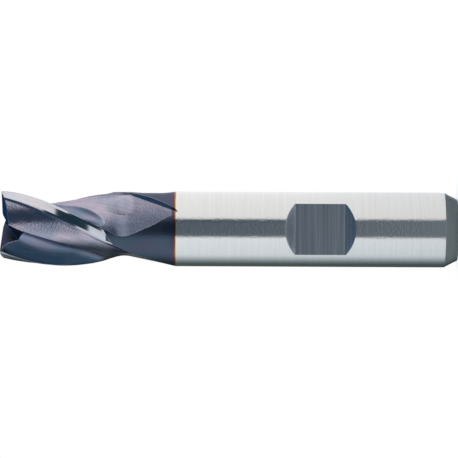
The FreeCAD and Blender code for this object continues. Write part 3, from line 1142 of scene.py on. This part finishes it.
@dataclass(frozen=True)
class SlotDrill:
    """The whole tool, ground out of one blank."""

    helix: Helix = Helix()
    blank: Blank = Blank()
    flat: SideLockFlat = SideLockFlat()
    gullet: Gullet = Gullet()
    back: BackCut = BackCut()
    land: LandRelief = LandRelief()
    end: CuttingEnd = CuttingEnd()
    smooth_under: float = 5.5

    def cutter(self, mesh: Mesh, finish: Material) -> Object:
        """Return a cutter object that leaves the given finish."""
        mesh.materials.append(finish)
        return link_object(mesh.name + "Cutter", mesh)

    def cutters(self) -> list[Object]:
        """Make the cutters in the order of the grinding.

        Returns:
            The cutters, each with the finish of the face that it leaves.
        """
        steels = (FLAT, FLUTE, BACK, LAND, END, GASH)
        flat, flute, back, land, end, gash = [steel.material() for steel in steels]
        made = [self.cutter(self.flat.mesh(), flat)]
        for tooth in range(self.helix.teeth):
            made.append(self.cutter(self.end.facet(tooth), end))
            made.append(self.cutter(self.end.behind(tooth), end))
            made.append(self.cutter(self.end.gash(tooth), gash))
        winding = WoundCut(self.helix)
        for straight, finish, below, ease in (
            (self.gullet.mesh(), flute, 0.0, 1.0),
            (self.back.mesh(), back, self.back.straight_below(), self.back.ease),
            (self.land.mesh(), land, 0.0, 1.0),
        ):
            cutter = self.cutter(straight, finish)
            winding.wind(cutter, finish, below, ease)
            made.append(cutter)
        return made

    def build(self) -> Object:
        """Grind the tool and dress it.

        Returns:
            The finished piece, riding on the tool's body.
        """
        mesh = self.blank.mesh()
        for steel in (SHANK, CHAMFER):
            mesh.materials.append(steel.material())
        tool = link_object("SlotDrillGround", mesh)
        cutters = self.cutters()
        for cutter in cutters:
            modifier = tool.modifiers.new(cutter.name, "BOOLEAN")
            modifier.operation = "DIFFERENCE"
            modifier.solver = "EXACT"
            modifier.material_mode = "TRANSFER"
            modifier.object = cutter
        tool.data = plain_mesh(tool)
        tool.modifiers.clear()
        for cutter in cutters:
            bpy.data.objects.remove(cutter)
        tool.data.shade_smooth()
        tool.data.set_sharp_from_angle(angle=math.radians(self.smooth_under))
        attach(tool, BODY)
        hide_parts(NODE)
        log.info("slot drill: %d faces", len(tool.data.polygons))
        return tool


@dataclass(frozen=True)
class PaperFloor:
    """The pale floor that the tool stands on.

    The camera sees it glow to white but for the tool's contact shadow, which
    is painted into the glow by ambient occlusion.  The steel sees a share of
    that glow, and at grazing angles sees through the floor, so that the end
    of the shank mirrors the tent.
    """

    side: float = 76.0
    paper: str = "#f4f4f4"
    painted_shadow_reach: float = 12.0
    glow: Point = (0.72, 0.93)
    mirrored_share: float = 0.22
    grazing: Point = (0.45, 0.75)

    def material(self) -> Material:
        """Make the floor's material.

        Returns:
            The material.
        """
        made = bpy.data.materials.new("Pale paper floor")
        tree = empty_tree(made)
        matt = add_node(tree, "ShaderNodeBsdfDiffuse", {"Color": linear(self.paper)}).outputs[0]
        # Painted contact shadow: ambient occlusion dims the glow near the tool.
        near = {"Distance": self.painted_shadow_reach * MM}
        open_sky = add_node(tree, "ShaderNodeAmbientOcclusion", near, samples=8).outputs["AO"]
        span = {"Value": open_sky, "From Min": 0.4, "To Min": self.glow[0], "To Max": self.glow[1]}
        strength = add_node(tree, RANGE, span).outputs[0]
        white = {"Color": linear("#ffffff"), "Strength": strength}
        glow = add_node(tree, "ShaderNodeEmission", white).outputs[0]
        lit = add_node(tree, "ShaderNodeAddShader", {0: matt, 1: glow}).outputs[0]
        path = add_node(tree, "ShaderNodeLightPath").outputs
        rays = {0: path["Is Glossy Ray"], 1: path["Is Transmission Ray"]}
        mirrored = add_node(tree, MATH, rays, operation="MAXIMUM").outputs[0]
        shares = {0: mirrored, 1: self.mirrored_share, 2: path["Is Camera Ray"]}
        seen = add_node(tree, MATH, shares, operation="MULTIPLY_ADD").outputs[0]
        mixed = add_node(tree, "ShaderNodeMixShader", {0: seen, 1: matt, 2: lit}).outputs[0]
        slant = add_node(tree, "ShaderNodeLayerWeight", {"Blend": 0.5}).outputs["Facing"]
        start, end = self.grazing
        grazing = add_node(tree, RANGE, {"Value": slant, "From Min": start, "From Max": end}).outputs[0]
        fading = add_node(tree, MATH, {0: mirrored, 1: grazing}, operation="MULTIPLY").outputs[0]
        clear = add_node(tree, "ShaderNodeBsdfTransparent").outputs[0]
        floor = add_node(tree, "ShaderNodeMixShader", {0: fading, 1: mixed, 2: clear}).outputs[0]
        add_node(tree, "ShaderNodeOutputMaterial", {0: floor})
        return made

    def build(self) -> Object:
        """Make the floor.

        Returns:
            The floor.
        """
        made = self.material()
        half = self.side / 2 * MM
        mesh = bpy.data.meshes.new("Floor")
        corners = [(-half, -half, 0.0), (half, -half, 0.0), (half, half, 0.0), (-half, half, 0.0)]
        mesh.from_pydata(corners, [], [(0, 1, 2, 3)])
        mesh.materials.append(made)
        floor = link_object("Floor", mesh)
        return floor


@dataclass(frozen=True)
class LightTent:
    """The soft tent of cloth and cards that the steel mirrors.

    A direction is told by its angle round the tool's axis, 0 towards the
    camera, and by its rise, the upright part of its unit length.  The camera
    itself sees plain white.
    """

    # Colours of the tent's wall by the angle: a dark gap in front, darkest along one side.
    wall: tuple[tuple[float, str], ...] = (
        (-180, "#ffffff"),
        (-168, "#4c5856"),
        (-134, "#4c5856"),
        (-118, "#7a868a"),
        (-104, "#aeb8be"),
        (-88, "#e0e7ea"),
        (-27, "#f2f6fa"),
        (-22, "#58626b"),
        (20, "#545e68"),
        (24, "#303e50"),
        (29, "#38465a"),
        (33, "#f6f5f2"),
        (140, "#ffffff"),
        (180, "#ffffff"),
    )
    # Deeper gaps in front: middle angle, half width, rise where each starts and where it is full, colour.
    gaps: tuple[tuple[float, float, float, float, str], ...] = (
        (3, 27, -0.034, -0.056, "#788187"),
        (3, 27, 0.1, 0.18, "#1e3644"),
        (30, 20, 0.3, 0.42, "#2c4858"),
        (18, 42, -0.24, -0.4, "#3e6474"),
    )
    gap_blur: float = 2.0
    # What the lower wall, the lee beneath the ceiling's card and the cards themselves take on.
    lower: tuple[tuple[str, str], ...] = (("nearer", "#eceef0"), ("dropped", "#587280"))
    lee: str = "#5a7086"
    card: str = "#40566c"
    card_top: str = "#34546c"

    def masks(self, tree: Tree, depth: Socket, rise: Socket, around: Socket) -> dict[str, Socket]:
        """Add the masks of the cards and of the tent's shaded parts.

        Args:
            tree: the world's tree.
            depth: how far a direction points away from the camera.
            rise: its rise.
            around: its angle round the tool.

        Returns:
            The masks by name.
        """
        made: dict[str, Socket] = {}
        # Each mask is 0 at the first number and 1 at the second.
        for name, way, start, end, curve in (
            ("overhead", rise, 0.25, 0.62, "SMOOTHSTEP"),
            ("lifted", rise, 0.14, 0.27, "SMOOTHSTEP"),
            ("behind", depth, 0.45, 0.7, "SMOOTHSTEP"),
            ("beyond", around, math.radians(-78), math.radians(-62), "LINEAR"),
            ("dropped", rise, -0.12, -0.4, "SMOOTHSTEP"),
            ("nearer", rise, -0.025, -0.056, "LINEAR"),
            ("under", around, 0.0, math.radians(-40), "LINEAR"),
            ("raised", rise, 0.22, 0.5, "SMOOTHSTEP"),
            ("top", rise, 0.6, 0.9, "SMOOTHSTEP"),
        ):
            span = {"Value": way, "From Min": start, "From Max": end}
            made[name] = add_node(tree, RANGE, span, interpolation_type=curve).outputs[0]
        for name, first, second, how in (
            ("back", "lifted", "behind", "MULTIPLY"),
            ("ceiling", "overhead", "beyond", "MULTIPLY"),
            ("card", "ceiling", "back", "MAXIMUM"),
            ("low side", "under", "beyond", "MULTIPLY"),
            ("lee", "low side", "raised", "MULTIPLY"),
            ("card top", "top", "back", "MAXIMUM"),
        ):
            made[name] = add_node(tree, MATH, {0: made[first], 1: made[second]}, operation=how).outputs[0]
        return made

    def gap_layers(self, tree: Tree, rise: Socket, around: Socket) -> list[tuple[Socket, Colour | Socket]]:
        """Add the gaps' masks.

        Args:
            tree: the world's tree.
            rise: a direction's rise.
            around: its angle round the tool.

        Returns:
            The mask and colour of each gap.
        """
        made: list[tuple[Socket, Colour | Socket]] = []
        for middle, half, start, end, colour in self.gaps:
            centred = {0: around, 1: math.radians(middle)}
            aside = add_node(tree, MATH, centred, operation="SUBTRACT").outputs[0]
            off = add_node(tree, MATH, {0: aside}, operation="ABSOLUTE").outputs[0]
            outer, inner = math.radians(half + self.gap_blur), math.radians(half - self.gap_blur)
            facing = add_node(tree, RANGE, {"Value": off, "From Min": outer, "From Max": inner}).outputs[0]
            share = add_node(tree, RANGE, {"Value": rise, "From Min": start, "From Max": end}).outputs[0]
            mask = add_node(tree, MATH, {0: facing, 1: share}, operation="MULTIPLY").outputs[0]
            made.append((mask, linear(colour)))
        return made

    def build(self) -> None:
        """Make the world out of the wall and, laid over it one by one, its gaps, shade and cards."""
        world = bpy.data.worlds.new("Light tent")
        bpy.context.scene.world = world
        tree = empty_tree(world)
        where = add_node(tree, "ShaderNodeTexCoord").outputs["Generated"]
        parts = add_node(tree, "ShaderNodeSeparateXYZ", {0: where}).outputs
        front = add_node(tree, MATH, {0: parts["Y"], 1: -1.0}, operation="MULTIPLY").outputs[0]
        around = add_node(tree, MATH, {0: parts["X"], 1: front}, operation="ARCTAN2").outputs[0]
        turn = add_node(tree, RANGE, {"Value": around, "From Min": -math.pi, "From Max": math.pi}).outputs[0]
        ramp = add_node(tree, "ShaderNodeValToRGB", {0: turn})
        set_stops(ramp, [((at + 180) / 360, colour) for at, colour in self.wall])
        masks = self.masks(tree, parts["Y"], parts["Z"], around)
        lower = [(masks[name], linear(colour)) for name, colour in self.lower]
        shaded = laid_over(tree, linear("#ffffff"), lower)
        wall = {"Factor": 1.0, 6: ramp.outputs[0], 7: shaded}
        tent = add_node(tree, MIX, wall, data_type="RGBA", blend_type="MULTIPLY").outputs[2]
        card = laid_over(tree, linear(self.card), [(masks["card top"], linear(self.card_top))])
        camera_ray = add_node(tree, "ShaderNodeLightPath").outputs["Is Camera Ray"]
        layers = self.gap_layers(tree, parts["Z"], around)
        layers += [(masks["lee"], linear(self.lee)), (masks["card"], card), (camera_ray, linear("#ffffff"))]
        colour = laid_over(tree, tent, layers)
        shine = add_node(tree, "ShaderNodeBackground", {"Color": colour, "Strength": 1.0}).outputs[0]
        add_node(tree, "ShaderNodeOutputWorld", {0: shine})


@dataclass(frozen=True)
class Studio:
    """The floor, the light tent and the camera."""

    floor: PaperFloor = PaperFloor()
    tent: LightTent = LightTent()
    distance: float = 500.0
    width_mm: float = 73.42
    middle: Point = (0.01, 36.53)
    lean: float = 0.27
    sensor: float = 36.0
    clip_start: float = 10.0

    def camera(self) -> None:
        """Put the camera square to the axis, rolled so that the tool lies down."""
        data = bpy.data.cameras.new("Camera")
        data.sensor_width = self.sensor
        data.lens = self.sensor * self.distance / self.width_mm
        data.clip_start = self.clip_start * MM
        camera = bpy.data.objects.new("Camera", data)
        bpy.context.scene.collection.objects.link(camera)
        c, s = math.cos(math.radians(self.lean)), math.sin(math.radians(self.lean))
        right, up, back = Vector((s, 0, -c)), Vector((c, 0, s)), Vector((0, -1, 0))
        turn = Matrix((right, up, back)).transposed().to_4x4()
        place = Vector((self.middle[0], -self.distance, self.middle[1])) * MM
        camera.matrix_world = Matrix.Translation(place) @ turn
        bpy.context.scene.camera = camera

    def build(self) -> None:
        """Make the floor, the light and the camera."""
        self.floor.build()
        self.tent.build()
        self.camera()
        bpy.context.scene.view_settings.view_transform = "Standard"
        log.info("studio ready")


def main() -> None:
    """Build the tool and its studio."""
    logging.basicConfig(level=logging.INFO, format="%(message)s")
    SlotDrill().build()
    Studio().build()


if __name__ == "__main__":
    main()
